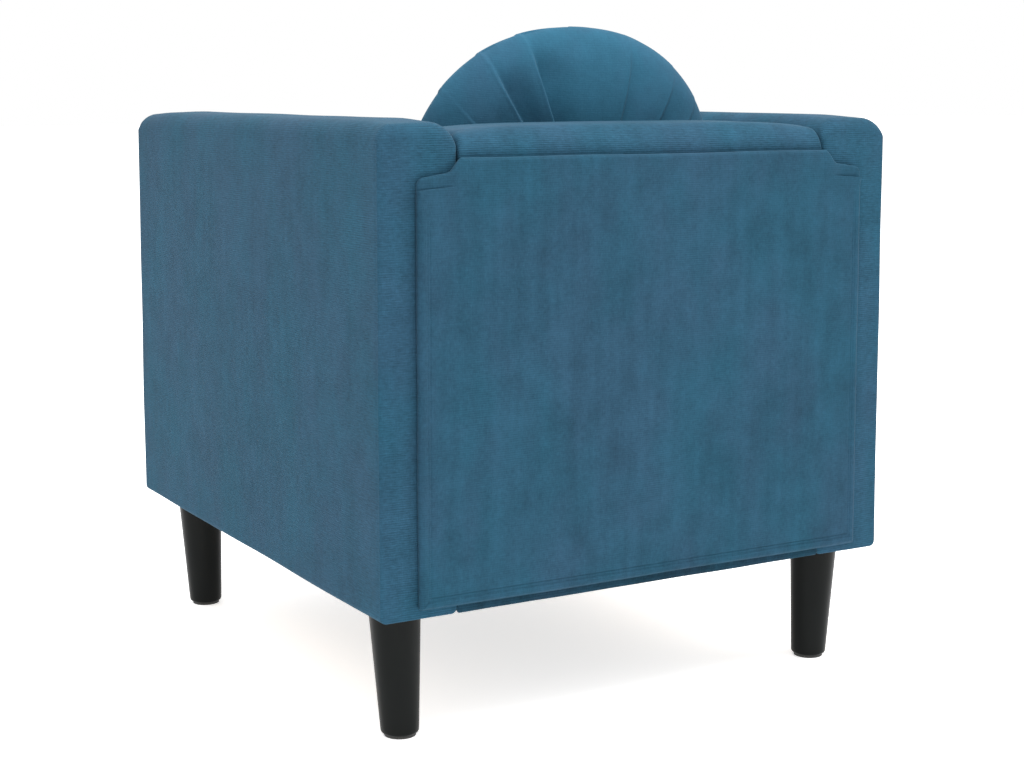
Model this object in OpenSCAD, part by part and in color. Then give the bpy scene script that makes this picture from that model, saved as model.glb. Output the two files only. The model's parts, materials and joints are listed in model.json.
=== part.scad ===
// Upholstered armchair: two box arms on a timber frame, a sprung seat with a loose
// boxed cushion, a padded back closed by an outside back panel, four tapered legs
// and a round pleated scatter pillow.
// +Z is up, -Y is the front, +X is the sitter's left. Z = 0 is the floor.

/* [Overall] */
// Width over both arms
overall_w = 690; // [670:10:760]
// Length of each arm, front to rear
arm_l = 770; // [760:10:800]
// Height of the arm tops above the floor
arm_top = 687; // [680:1:700]
// Height of the underside of the body above the floor
leg_h = 148; // [135:1:155]

/* [Arms] */
// Width of each arm
arm_w = 95; // [92:1:100]
// Radius of the outer top edge of an arm
arm_r_out = 42; // [36:1:44]
// Radius of the inner top edge of an arm
arm_r_in = 27; // [22:1:30]

/* [Seat] */
// Height of the seat deck above the floor
deck_top = 275; // [272:1:285]
// Thickness of the loose seat cushion
cushion_t = 112; // [100:1:140]
// Number of sinuous springs
spring_count = 5; // [3:1:6]

/* [Back] */
// Height of the top of the back
back_top = 680; // [676:1:684]
// Thickness of the back at the deck
back_t = 173; // [165:1:178]
// How far the front of the back leans to the rear for each unit of height
back_rake = 0.098; // [0.06:0.002:0.12]
// How far the outside back panel stands proud of the arms
panel_t = 11; // [9:1:14]

/* [Legs] */
// Diameter of a leg at the top
leg_d_top = 59; // [54:1:64]
// Diameter of a leg at the floor
leg_d_foot = 43; // [38:1:46]
// How far the foot of a leg is set in from its top, across the chair
leg_lean = 6; // [0:1:8]

/* [Pillow] */
// Radius of the scatter pillow
pillow_r = 206; // [180:1:210]
// Half of the pillow's thickness
pillow_half_t = 62; // [50:1:64]
// How far the pillow leans back, in degrees
pillow_tilt = 10; // [6:1:11]
// How far the pillow is turned towards the sitter's left, in degrees
pillow_turn = 6; // [0:1:8]
// How far the pillow lies to the sitter's right of the middle
pillow_shift = 13; // [0:1:20]

/* [Hidden] */
$fn = 48;
bore_gap = 0.2;         // radial clearance of a bolt in its hole
cut = 1;                // overshoot of a cutting solid

// Fabric, wadding and boards
cloth = 2.5;            // fabric with its backing
board = 3;              // hardboard

// Plan positions
half_w = overall_w / 2;
inner_x = half_w - arm_w;              // inner face of each arm
front_y = -(arm_l + panel_t) / 2;      // front end of the arms
rear_y = front_y + arm_l;              // rear end of the arms
gap = 0.5;                             // between the arms and what is between them
unit_x = inner_x - gap;                // half width of the seat and the back

// Arm: padding thickness on each side of the timber core
pad_out = 10;
pad_in = 12;
pad_top = 22;
pad_front = 22;
pad_rear = 6;
core_x0 = inner_x + cloth + pad_in;
core_x1 = half_w - cloth - pad_out;
core_y0 = front_y + cloth + pad_front;
core_y1 = rear_y - cloth - pad_rear;
core_z1 = arm_top - cloth - pad_top;
bottom_rail_h = 35;
top_rail_h = 18;
post_d = 30;

// Legs and their fixings
leg_x = half_w - arm_w / 2;
leg_rear_y = rear_y - 63;
leg_front_y = front_y + 95;
leg_ys = [leg_front_y, leg_rear_y];
glide_r = 18;
glide_t = 3;
glide_pin_r = 1.6;
glide_pin_l = 12;
m8_r = 4;
leg_bolt_l = 60;
leg_bolt_in = 30;       // length of the bolt inside the leg
tee_barrel_r = 5;
tee_barrel_l = 15;
tee_flange_r = 11;
tee_flange_t = 1.5;

// Seat frame
rail_t = 25;
frame_z0 = leg_h + 3;
rail_top = deck_top - 23;
border_y = front_y + 3;                // front of the front border
border_pad = 15;
front_rail_y = border_y + cloth + border_pad;
back_post_d = 60;
back_y1 = rear_y - cloth;              // rear face of the back frame
back_y0 = back_y1 - back_post_d;       // front face of the back frame
side_rail_y0 = front_rail_y + rail_t;
rear_rail_y0 = back_y0 - rail_t;
block = 50;             // leg of a triangular corner block
block_h = 60;

// Joining bolts between the seat frame and the arms
join_ys = [front_y + 170, rear_y - 190];
join_z = leg_h + bottom_rail_h / 2;
join_bolt_tip = core_x0 + 22;
join_head_r = 6.5;
join_head_t = 5;
washer_r = 11;
washer_t = 1.6;
insert_r = 6;
insert_l = 15;

// Sinuous springs: straight bars joined by half turns
wire_r = 1.9;
spring_turn_r = 18;
spring_bar = 26;
clip_h = 7;
spring_z = rail_top + clip_h / 2;
spring_pitch = 2 * spring_turn_r;
spring_bars = 2 * floor((rear_rail_y0 - front_rail_y) / (2 * spring_pitch)) + 1;
spring_y_mid = (front_rail_y + rear_rail_y0 + rail_t) / 2;
spring_y0 = spring_y_mid - spring_pitch * (spring_bars - 1) / 2;
spring_y1 = spring_y_mid + spring_pitch * (spring_bars - 1) / 2;
spring_step = (2 * unit_x - 140) / (spring_count - 1);
tie_r = 1.5;
felt_t = 4;

// Back
back_z0 = rail_top + clip_h + felt_t;
back_front0 = rear_y - back_t;         // front of the back at its foot
back_r_front = 42;
back_r_rear = 28;
back_post_w = 35;
back_rail_h = 45;
back_frame_top = back_top - cloth - 26;
webbing_t = 2.5;
webbing_w = 50;
webbing_count = 4;
cover_slot_top = back_top - 64;        // top of the opening that the outside back panel closes
lean = [1, -back_rake] / norm([1, back_rake]);   // unit normal of the front, pointing rearwards

// Outside back panel
panel_x = half_w - 43;
panel_z0 = leg_h + 12;
panel_z1 = arm_top - 40;
panel_shoulder_z = panel_z1 - 17;
panel_neck_x = inner_x - 1;
panel_slope_w = 13;
panel_shoulder_fall = 3.5;
panel_hem = 2.5;
tack_w = 12;
tack_z1 = panel_shoulder_z - 19;       // top of the tack strips, below the turned corner tabs

// Seat cushion
cushion_x = inner_x - 4;
cushion_y0 = front_y + 4.5;
cushion_y1 = back_front0 - 14.5;
cushion_z0 = deck_top + 0.4;
cushion_z1 = cushion_z0 + cushion_t;
cushion_r = 22;
cushion_cloth = 2;
zip_l = 460;
zip_w = 24;
zip_z = (cushion_z0 + cushion_z1) / 2;
coil_w = 6;
coil_t = 1.6;
slider_l = 14;
slider_w = 10;
slider_t = 3.5;

// Pillow
pillow_cloth = 1.5;
button_r = 15;
button_t = 7;
dimple = 11;
dimple_w = 28;
cord_r = 1.5;
hub_x = button_r + 8;
profile_steps = 16;
profile_turn = acos(hub_x / pillow_r);

// Half thickness of the pillow at radius x: a rounded lens, sunk round the button
function pillow_height(x) = pillow_half_t * pow(1 - pow(x / pillow_r, 2), 0.4)
    - dimple * exp(-pow((x - hub_x) / dimple_w, 2));

function profile_point(i) = let (x = pillow_r * cos(i * profile_turn / profile_steps))
    [x, pillow_height(x)];

pillow_hub = pillow_height(hub_x);
pillow_drop = max([for (i = [0 : profile_steps]) let (p = profile_point(i))
    p.x * cos(pillow_tilt) + p.y * sin(pillow_tilt)]);
pillow_z = cushion_z1 + 0.5 + pillow_drop;
pillow_y = back_front0 - 45;

blue = [0.22, 0.40, 0.50];
timber = [0.80, 0.64, 0.42];
foam = [0.95, 0.92, 0.74];
steel = [0.62, 0.63, 0.65];
hardboard = [0.52, 0.37, 0.22];
felt = [0.55, 0.54, 0.52];
black = [0.07, 0.07, 0.07];

// ---------- helpers ----------

// A box from one corner to the other
module box(low, high) {
    translate(low) cube(high - low);
}

// Two children, mirrored about the chair's middle plane
module both_sides() {
    children();
    mirror([1, 0, 0]) children();
}

// A side piece: 1 is the sitter's left, -1 the right
module on_side(side) {
    if (side > 0) children();
    else mirror([1, 0, 0]) children();
}

// A cylinder along X from x0 to x1
module rod_x(x0, x1, r) {
    translate([x0, 0, 0]) rotate([0, 90, 0]) cylinder(h = x1 - x0, r = r);
}

// ---------- arms ----------

// Cross-section of the left arm in X and Z, inset by e on the top and both sides
module arm_section(e) {
    low = leg_h - (e > 0 ? cut : 0);
    r_out = arm_r_out - e;
    r_in = arm_r_in - e;
    c_out = [half_w - arm_r_out, arm_top - arm_r_out];
    c_in = [inner_x + arm_r_in, arm_top - arm_r_in];
    translate(c_out) circle(r = r_out);
    translate(c_in) circle(r = r_in);
    polygon([
        [inner_x + e, low], [half_w - e, low], [half_w - e, c_out.y],
        [c_out.x, arm_top - e], [c_in.x, arm_top - e], [inner_x + e, c_in.y]
    ]);
}

module arm_prism(e) {
    translate([0, rear_y - e, 0]) rotate([90, 0, 0])
        linear_extrude(height = arm_l - 2 * e) arm_section(e);
}

module join_holes(x0, x1, r) {
    for (y = join_ys) translate([0, y, join_z]) rod_x(x0, x1, r);
}

module arm_cover(side) {
    color(blue) on_side(side) difference() {
        arm_prism(0);
        arm_prism(cloth);
        join_holes(inner_x - cut, inner_x + cloth + cut, m8_r + bore_gap);
    }
}

module arm_padding(side) {
    color(foam) on_side(side) difference() {
        intersection() {
            arm_prism(cloth);
            box([0, front_y, leg_h], [half_w, rear_y, arm_top]);
        }
        box([core_x0, core_y0, leg_h - cut], [core_x1, core_y1, core_z1]);
        join_holes(inner_x, core_x0 + cut, m8_r + bore_gap);
    }
}

module arm_top_rail(side) {
    color(timber) on_side(side)
        box([core_x0, core_y0, core_z1 - top_rail_h], [core_x1, core_y1, core_z1]);
}

module arm_bottom_rail(side) {
    color(timber) on_side(side) difference() {
        box([core_x0, core_y0, leg_h], [core_x1, core_y1, leg_h + bottom_rail_h]);
        for (y = leg_ys) translate([leg_x, y, leg_h - cut]) {
            cylinder(h = bottom_rail_h + 2 * cut, r = m8_r + bore_gap);
            translate([0, 0, cut + bottom_rail_h - tee_barrel_l])
                cylinder(h = tee_barrel_l + cut, r = tee_barrel_r + bore_gap);
        }
        join_holes(core_x0 - cut, join_bolt_tip + 2, m8_r + bore_gap);
        join_holes(core_x0 - cut, core_x0 + insert_l, insert_r + bore_gap);
    }
}

module arm_post(side, y0) {
    color(timber) on_side(side)
        box([core_x0 + board, y0, leg_h + bottom_rail_h],
            [core_x1 - board, y0 + post_d, core_z1 - top_rail_h]);
}

module arm_side_boards(side) {
    color(hardboard) on_side(side) for (x = [core_x0, core_x1 - board])
        box([x, core_y0, leg_h + bottom_rail_h], [x + board, core_y1, core_z1 - top_rail_h]);
}

// ---------- legs ----------

// A tapered leg, leaning inwards as it goes down, cut flat at both ends
module leg(side, y) {
    lean_angle = atan(leg_lean / leg_h);
    over = 12;
    slope = (leg_d_top - leg_d_foot) / 2 / leg_h;
    color(black) on_side(side) translate([leg_x, y, 0]) difference() {
        intersection() {
            translate([-leg_lean, 0, 0]) rotate([0, lean_angle, 0])
                translate([0, 0, -over])
                    cylinder(h = leg_h + 2 * over, r1 = leg_d_foot / 2 - slope * over,
                             r2 = leg_d_top / 2 + slope * over);
            box([-leg_d_top, -leg_d_top, glide_t], [leg_d_top, leg_d_top, leg_h]);
        }
        translate([0, 0, leg_h - leg_bolt_in])
            cylinder(h = leg_bolt_in + cut, r = m8_r + bore_gap);
        translate([-leg_lean, 0, 0]) cylinder(h = glide_t + glide_pin_l, r = glide_pin_r + bore_gap);
    }
}

module at_legs() {
    both_sides() for (y = leg_ys) translate([leg_x, y, 0]) children();
}

module leg_bolts() {
    color(steel) at_legs() translate([0, 0, leg_h - leg_bolt_in])
        cylinder(h = leg_bolt_l, r = m8_r);
}

// The bolt's thread runs in the barrel with a small gap
module leg_tee_nuts() {
    color(steel) at_legs() translate([0, 0, leg_h + bottom_rail_h]) difference() {
        union() {
            translate([0, 0, -tee_barrel_l]) cylinder(h = tee_barrel_l, r = tee_barrel_r);
            cylinder(h = tee_flange_t, r = tee_flange_r);
        }
        translate([0, 0, -tee_barrel_l - cut])
            cylinder(h = tee_barrel_l + tee_flange_t + 2 * cut, r = m8_r + bore_gap);
    }
}

module leg_glides() {
    color(felt) at_legs() translate([-leg_lean, 0, 0]) {
        cylinder(h = glide_t, r = glide_r);
        cylinder(h = glide_t + glide_pin_l - cut, r = glide_pin_r);
    }
}

// ---------- seat ----------

module seat_front_rail() {
    color(timber) box([-unit_x, front_rail_y, frame_z0], [unit_x, side_rail_y0, rail_top]);
}

module seat_rear_rail() {
    color(timber)
        box([-unit_x + rail_t, rear_rail_y0, frame_z0], [unit_x - rail_t, back_y0, rail_top]);
}

module seat_side_rail(side) {
    color(timber) on_side(side) difference() {
        box([unit_x - rail_t, side_rail_y0, frame_z0], [unit_x, back_y0, rail_top]);
        join_holes(unit_x - rail_t - cut, unit_x + cut, m8_r + bore_gap);
    }
}

module seat_corner_blocks() {
    x = unit_x - rail_t;
    z = rail_top - block_h;
    color(timber) both_sides() {
        translate([x, side_rail_y0, z]) linear_extrude(height = block_h)
            polygon([[0, 0], [-block, 0], [0, block]]);
        translate([x, rear_rail_y0, z]) linear_extrude(height = block_h)
            polygon([[0, 0], [-block, 0], [0, -block]]);
    }
}

// One spring: bars along X, joined by half turns on alternate sides
module sinuous_spring() {
    for (i = [0 : spring_bars - 1]) translate([0, i * spring_pitch, 0])
        rod_x(-spring_bar / 2, spring_bar / 2, wire_r);
    for (i = [0 : spring_bars - 2]) {
        end = i % 2 == 0 ? 1 : -1;
        translate([end * spring_bar / 2, (i + 0.5) * spring_pitch, 0]) rotate([0, 0, -90 * end])
            rotate_extrude(angle = 180) translate([spring_turn_r, 0]) circle(r = wire_r);
    }
}

module at_springs() {
    for (i = [0 : spring_count - 1])
        translate([(i - (spring_count - 1) / 2) * spring_step, spring_y0, spring_z]) children();
}

module seat_springs() {
    color(steel) at_springs() sinuous_spring();
}

// Clips nailed on the rails, each round the end bar of a spring
module spring_clips() {
    clip_w = 16;
    clip_d = 14;
    color(steel) at_springs() for (y = [0, spring_y1 - spring_y0]) translate([0, y, 0])
        difference() {
            box([-clip_w / 2, -clip_d / 2, -clip_h / 2], [clip_w / 2, clip_d / 2, clip_h / 2]);
            rod_x(-clip_w / 2 - cut, clip_w / 2 + cut, wire_r + bore_gap);
        }
}

// Paper-wrapped rods tied under the springs, from one side rail to the other
module spring_tie_rods() {
    color(felt) for (t = [1 / 3, 2 / 3])
        translate([0, spring_y0 + t * (spring_y1 - spring_y0) + spring_pitch / 4, 0])
            translate([0, 0, spring_z - wire_r - tie_r - 0.3])
                rod_x(-unit_x + rail_t + 0.5, unit_x - rail_t - 0.5, tie_r);
}

module deck_layer(z0, z1) {
    box([-unit_x, border_y + cloth, z0], [unit_x, back_y0, z1]);
}

module spring_felt() {
    color(felt) deck_layer(rail_top + clip_h, rail_top + clip_h + felt_t);
}

// The foam over the springs stops at the foot of the back
module deck_padding() {
    color(foam) difference() {
        deck_layer(rail_top + clip_h + felt_t, deck_top - cloth);
        box([-inner_x, back_front0, back_z0], [inner_x, rear_y, back_top]);
    }
}

module front_border_padding() {
    color(foam) box([-unit_x, border_y + cloth, frame_z0],
                    [unit_x, front_rail_y, rail_top + clip_h]);
}

// Fabric over the deck and down the front of the seat
module seat_deck_cover() {
    color(blue) {
        box([-unit_x, border_y, deck_top - cloth], [unit_x, back_front0, deck_top]);
        box([-unit_x, border_y, leg_h], [unit_x, border_y + cloth, deck_top]);
    }
}

module dust_cover() {
    color(black) box([-unit_x, border_y + cloth, leg_h + 1.5], [unit_x, back_y1, frame_z0]);
}

module joining_bolts() {
    color(steel) both_sides() for (y = join_ys) translate([0, y, join_z]) {
        rod_x(unit_x - rail_t - washer_t, join_bolt_tip, m8_r);
        rod_x(unit_x - rail_t - washer_t - join_head_t, unit_x - rail_t - washer_t, join_head_r);
    }
}

module joining_washers() {
    color(steel) both_sides() for (y = join_ys) translate([0, y, join_z]) difference() {
        rod_x(unit_x - rail_t - washer_t, unit_x - rail_t, washer_r);
        rod_x(unit_x - rail_t - washer_t - cut, unit_x - rail_t + cut, m8_r + bore_gap);
    }
}

module joining_inserts() {
    color(steel) both_sides() for (y = join_ys) translate([0, y, join_z]) difference() {
        rod_x(core_x0, core_x0 + insert_l, insert_r);
        rod_x(core_x0 - cut, core_x0 + insert_l + cut, m8_r + bore_gap);
    }
}

// ---------- back ----------

// The back's outer form, inset by e on the sides, the front, the top and the rear: a prism
// of its side profile in Y and Z, with a round edge along the front and the rear of its top
module back_prism(e) {
    low = back_z0 - (e > 0 ? cut : 0);
    width = 2 * (unit_x - e);
    z_front = back_top - back_r_front;
    y_front = back_front0 + (z_front - back_z0) * back_rake + back_r_front / lean.x;
    c_front = [y_front, z_front];
    c_rear = [rear_y - back_r_rear, back_top - back_r_rear];
    touch = c_front - (back_r_front - e - 0.2) * lean;
    foot_y = touch.x - (touch.y - low) * back_rake;
    translate([-width / 2, 0, 0]) rotate([90, 0, 90]) {
        translate(c_front) cylinder(h = width, r = back_r_front - e);
        translate(c_rear) cylinder(h = width, r = back_r_rear - e);
        linear_extrude(height = width) polygon([
            [rear_y - e, low], [foot_y, low], touch,
            [c_front.x, back_top - e], [c_rear.x, back_top - e], [rear_y - e, c_rear.y]
        ]);
    }
}

module back_cover() {
    color(blue) difference() {
        back_prism(0);
        back_prism(cloth);
        box([-unit_x + cloth, rear_y - 2 * cloth, back_z0 - cut],
            [unit_x - cloth, rear_y + cut, cover_slot_top]);
    }
}

module back_padding() {
    color(foam) difference() {
        intersection() {
            back_prism(cloth);
            box([-unit_x, 0, back_z0], [unit_x, rear_y, back_top]);
        }
        box([-unit_x, back_y0 - webbing_t, 0], [unit_x, rear_y, back_frame_top]);
        box([-unit_x, 0, 0], [unit_x, back_y0, deck_top]);
    }
}

back_frame_x = unit_x - cloth;

module back_post(side) {
    color(timber) on_side(side)
        box([back_frame_x - back_post_w, back_y0, frame_z0], [back_frame_x, back_y1, back_frame_top]);
}

module back_rail(z) {
    x = back_frame_x - back_post_w;
    color(timber) box([-x, back_y0, z], [x, back_y1, z + back_rail_h]);
}

// Elastic straps across the front of the back frame
module back_webbing() {
    z0 = deck_top + 70;
    step = (back_frame_top - back_rail_h - z0 - 10) / webbing_count;
    color(felt) for (i = [0 : webbing_count - 1])
        box([-back_frame_x, back_y0 - webbing_t, z0 + i * step],
            [back_frame_x, back_y0, z0 + i * step + webbing_w]);
}

// Outline of the outside back panel, inset by e. From each end of the top edge a steep
// slope runs down and out to a shoulder, which falls a little towards its blunt corner.
module panel_outline(e) {
    half = [
        [panel_x - e, panel_z0 + e],
        [panel_x - e, panel_shoulder_z - 13.5 - e],
        [panel_x - 4 - e, panel_shoulder_z - 6 - e],
        [panel_x - 12 - e, panel_shoulder_z - panel_shoulder_fall - e],
        [panel_neck_x + panel_slope_w - e, panel_shoulder_z - e],
        [panel_neck_x - e / 2, panel_z1 - e]
    ];
    polygon([for (p = half) p, for (i = [len(half) - 1 : -1 : 0]) [-half[i].x, half[i].y]]);
}

module panel_layer(e, depth0, depth1) {
    translate([0, rear_y + depth1, 0]) rotate([90, 0, 0])
        linear_extrude(height = depth1 - depth0) panel_outline(e);
}

module tack_strip_zone(x0, x1) {
    both_sides() box([x0, rear_y, 0], [x1, rear_y + panel_t, tack_z1]);
}

module outside_back_board() {
    color(hardboard) panel_layer(panel_hem, 0, board);
}

module outside_back_wadding() {
    color(foam) difference() {
        panel_layer(panel_hem, board, panel_t - cloth);
        tack_strip_zone(panel_x - panel_hem - tack_w, panel_x);
    }
}

module outside_back_tack_strips() {
    x1 = panel_x - panel_hem;
    color(hardboard) both_sides()
        box([x1 - tack_w, rear_y + board, panel_z0 + panel_hem],
            [x1, rear_y + panel_t - cloth, tack_z1]);
}

module outside_back_cover() {
    color(blue) difference() {
        panel_layer(0, 0, panel_t);
        panel_layer(panel_hem, -cut, panel_t - cloth);
    }
}

// Fabric turned under the rear of the frame, below the outside back panel
module rear_hem_strip() {
    color(blue) box([-unit_x, back_y1, leg_h], [unit_x, rear_y, leg_h + 70]);
}

// ---------- seat cushion ----------

module rounded_rect(low, high, r) {
    for (x = [low.x + r, high.x - r], y = [low.y + r, high.y - r])
        translate([x, y]) circle(r = r);
    translate([low.x + r, low.y]) square([high.x - low.x - 2 * r, high.y - low.y]);
    translate([low.x, low.y + r]) square([high.x - low.x, high.y - low.y - 2 * r]);
}

module cushion_block(e) {
    translate([0, 0, cushion_z0 + e]) linear_extrude(height = cushion_z1 - cushion_z0 - 2 * e)
        rounded_rect([-cushion_x + e, cushion_y0 + e], [cushion_x - e, cushion_y1 - e],
                     cushion_r - e);
}

module zip_strip(half_width, y0, y1) {
    box([-zip_l / 2, y0, zip_z - half_width], [zip_l / 2, y1, zip_z + half_width]);
}

module seat_cushion_cover() {
    color(blue) difference() {
        cushion_block(0);
        cushion_block(cushion_cloth);
        zip_strip(zip_w / 2, cushion_y1 - 2 * cushion_cloth, cushion_y1 + cut);
    }
}

module seat_cushion_core() {
    color(foam) cushion_block(cushion_cloth);
}

module seat_cushion_zip() {
    color(black) {
        zip_strip(zip_w / 2, cushion_y1 - cushion_cloth, cushion_y1);
        zip_strip(coil_w / 2, cushion_y1 - cushion_cloth, cushion_y1 + coil_t);
    }
}

// The slider rests at the right end of the zip
module zip_slider() {
    x = -zip_l / 2 + 5;
    y = cushion_y1 + coil_t + 0.3;
    color(steel) {
        box([x, y, zip_z - slider_w / 2], [x + slider_l, y + slider_t - 1, zip_z + slider_w / 2]);
        box([x + 3, y, zip_z - 2], [x + slider_l - 3, y + slider_t, zip_z + 2]);
    }
}

// ---------- pillow ----------

// Half profile of the pillow in radius and height
module pillow_profile() {
    front = [for (i = [0 : profile_steps]) profile_point(i)];
    polygon([
        [0, -pillow_hub],
        for (i = [profile_steps : -1 : 1]) [front[i].x, -front[i].y],
        for (p = front) p,
        [0, pillow_hub]
    ]);
}

// The pillow's filling, whose surface is the inside of the cover
module pillow_body(e) {
    scale(1 - e / pillow_half_t) rotate_extrude() pillow_profile();
}

module pillow_place() {
    translate([-pillow_shift, pillow_y, pillow_z]) rotate([90 - pillow_tilt, 0, -pillow_turn]) children();
}

module pillow_hole() {
    cylinder(h = 2 * pillow_r, r = cord_r + bore_gap, center = true);
}

module pillow_cover() {
    color(blue) pillow_place() difference() {
        pillow_body(0);
        pillow_body(pillow_cloth);
        pillow_hole();
    }
}

module pillow_filling() {
    color(foam) pillow_place() difference() {
        pillow_body(pillow_cloth);
        pillow_hole();
    }
}

module pillow_buttons() {
    color(blue) pillow_place() for (end = [0, 1]) mirror([0, 0, end])
        translate([0, 0, pillow_hub]) {
            cylinder(h = button_t - 3, r = button_r);
            cylinder(h = button_t, r = button_r - 4);
        }
}

module pillow_tuft_cord() {
    color(felt) pillow_place() cylinder(h = 2 * pillow_hub, r = cord_r, center = true);
}

// ---------- the nodes ----------

arm_cover(1);  // arm_cover_left
arm_cover(-1);  // arm_cover_right
arm_padding(1);  // arm_padding_left
arm_padding(-1);  // arm_padding_right
arm_top_rail(1);  // arm_top_rail_left
arm_top_rail(-1);  // arm_top_rail_right
arm_bottom_rail(1);  // arm_bottom_rail_left
arm_bottom_rail(-1);  // arm_bottom_rail_right
arm_post(1, core_y0);  // arm_front_post_left
arm_post(-1, core_y0);  // arm_front_post_right
arm_post(1, core_y1 - post_d);  // arm_rear_post_left
arm_post(-1, core_y1 - post_d);  // arm_rear_post_right
arm_side_boards(1);  // arm_side_boards_left
arm_side_boards(-1);  // arm_side_boards_right
leg(1, leg_front_y);  // leg_front_left
leg(-1, leg_front_y);  // leg_front_right
leg(1, leg_rear_y);  // leg_rear_left
leg(-1, leg_rear_y);  // leg_rear_right
leg_bolts();
leg_tee_nuts();
leg_glides();
seat_front_rail();
seat_rear_rail();
seat_side_rail(1);  // seat_side_rail_left
seat_side_rail(-1);  // seat_side_rail_right
seat_corner_blocks();
seat_springs();
spring_clips();
spring_tie_rods();
spring_felt();
deck_padding();
front_border_padding();
seat_deck_cover();
dust_cover();
joining_bolts();
joining_washers();
joining_inserts();
back_post(1);  // back_post_left
back_post(-1);  // back_post_right
back_rail(back_frame_top - back_rail_h);  // back_top_rail
back_rail(deck_top + 15);  // back_middle_rail
back_rail(frame_z0);  // back_bottom_rail
back_webbing();
back_padding();
back_cover();
outside_back_board();
outside_back_wadding();
outside_back_tack_strips();
outside_back_cover();
rear_hem_strip();
seat_cushion_cover();
seat_cushion_core();
seat_cushion_zip();
zip_slider();
pillow_cover();
pillow_filling();
pillow_buttons();
pillow_tuft_cord();
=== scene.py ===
"""Looks of the upholstered armchair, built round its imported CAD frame.

Units are metres. +Z is up, -Y is the chair's front and +X the sitter's left. Each soft piece
takes its place from the CAD node that it stands for.
"""

import json
import math

import bpy
import numpy as np
from mathutils import Matrix, Vector, noise


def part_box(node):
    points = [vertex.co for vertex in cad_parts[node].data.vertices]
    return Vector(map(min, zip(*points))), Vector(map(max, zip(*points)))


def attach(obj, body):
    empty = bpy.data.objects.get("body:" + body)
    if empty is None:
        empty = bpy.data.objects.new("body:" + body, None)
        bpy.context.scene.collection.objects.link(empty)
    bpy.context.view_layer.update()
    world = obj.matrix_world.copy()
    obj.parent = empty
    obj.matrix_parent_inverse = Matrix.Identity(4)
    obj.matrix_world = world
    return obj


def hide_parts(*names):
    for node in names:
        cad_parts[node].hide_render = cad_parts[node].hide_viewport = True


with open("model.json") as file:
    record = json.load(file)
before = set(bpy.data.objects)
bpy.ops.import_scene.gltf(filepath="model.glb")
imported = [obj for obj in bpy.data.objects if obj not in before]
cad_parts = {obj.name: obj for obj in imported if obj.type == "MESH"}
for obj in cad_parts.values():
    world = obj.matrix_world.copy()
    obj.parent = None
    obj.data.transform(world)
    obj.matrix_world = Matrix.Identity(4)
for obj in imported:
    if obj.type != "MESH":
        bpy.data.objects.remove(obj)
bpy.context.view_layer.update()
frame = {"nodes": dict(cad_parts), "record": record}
MM = 0.001

# ---------------------------------------- sizes

ARM_OUT_R = 24 * MM       # an arm's round edges: its outer top,
ARM_IN_R = 27 * MM        # its inner top
ARM_LOW_R = 8 * MM        # and its bottom
ARM_LIFT = 0.6 * MM       # how far its bottom stands over its CAD cover's
ARM_FALL = 1.5 * MM       # how far an arm's top falls towards its outer edge
ARM_FALL_W = 55 * MM      # over what width
ARM_FALL_R = 100 * MM     # and how softly that fall starts
ARM_CREST = 2.0 * MM      # rise of an arm's top along its middle
ARM_CREST_FADE = 95 * MM  # how far from the ends it is whole
ARM_END_DROP = 1.5 * MM   # and its fall at the ends
ARM_SWELL = 1.2 * MM      # swell of an arm's sides
ARM_SEAM_R = 3.5 * MM     # rounding of an arm's end at its seam,
ARM_END_TOP_R = 17 * MM   # over its top
ARM_END_IN_R = 5 * MM     # down its inner edge
ARM_END_LOW_R = 2.4 * MM  # and along its bottom
ARM_END_DOME = 1.5 * MM   # swell of an arm's ends
SEAM_DEPTH = 0.7 * MM     # the groove of the seam beside each end
SEAM_INSET = 5 * MM
BACK_RAKE = 0.098         # lean of the back's front per unit of height
BACK_LOW_R = (6 * MM, 4 * MM)
BACK_FRONT_R = 40 * MM
BACK_REAR_R = 30 * MM
BACK_END_R = 9 * MM
BACK_END_GAP = 2 * MM     # between the back's ends and the arms
BACK_END_DROP = 8 * MM    # how far the back's top falls towards its ends
BACK_CREST = 2.6 * MM     # and its rise in the middle
BACK_SWELL = 11 * MM      # swell of the back's front
PANEL_EDGE_R = 5 * MM
PANEL_CORNER_R = 3.5 * MM
PANEL_TUCK = 0.8 * MM     # how far the panel sinks where it meets a tab
HEM_LINES = (9.5 * MM, 13 * MM)
HEM_GROOVE = 0.6 * MM     # depth of each line of the hem
HEM_RISE = 0.5 * MM       # and how far the fabric outside them stands up
SHOULDER_DROP = 17 * MM   # from the panel's top edge to its shoulders
SHOULDER_FALL = 4.5 * MM  # and their fall from there to the panel's side
TAB_H = 17 * MM           # height of the turned tab at each shoulder
TAB_DROP = 2.6 * MM       # how far the tab lies below the panel's face
TAB_LAP = 0.25 * MM       # how far it stands over the panel beside the neck
CUSHION_SLACK = 5 * MM    # how much narrower it is drawn before it swells
CUSHION_CORNER_R = (22 * MM, 22 * MM, 18 * MM, 18 * MM)
CUSHION_SEAM_R = 5 * MM
CUSHION_PRESSURE = 3.0
CUSHION_SWELL = 13 * MM   # the furthest that a point may swell
CUSHION_SPREAD = 0.45     # share of the sideways swelling that is kept
CUSHION_REST_H = 55 * MM  # height over which the deck keeps it flat
CUSHION_PROUD = 2.5 * MM  # how far its sides may pass its CAD cover
PILLOW_R = 207 * MM
PILLOW_HALF_T = 64 * MM
PILLOW_TILT = math.radians(10)
PILLOW_TURN = math.radians(6)
PILLOW_SQUARENESS = 2.18  # 2 is a true circle
PILLOW_DIP = 15 * MM      # how far the button draws the pillow in
FOLD_H = 9 * MM           # height of a fold of depth 1
FOLD_PITCH = 19           # degrees between the hidden folds
FOLD_BEND = 0.36          # how much the folds bow on their way in
WRINKLE_H = 2.5 * MM
LEG_LEAN = 6 * MM
LEG_FOOT_R = 21.5 * MM
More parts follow.
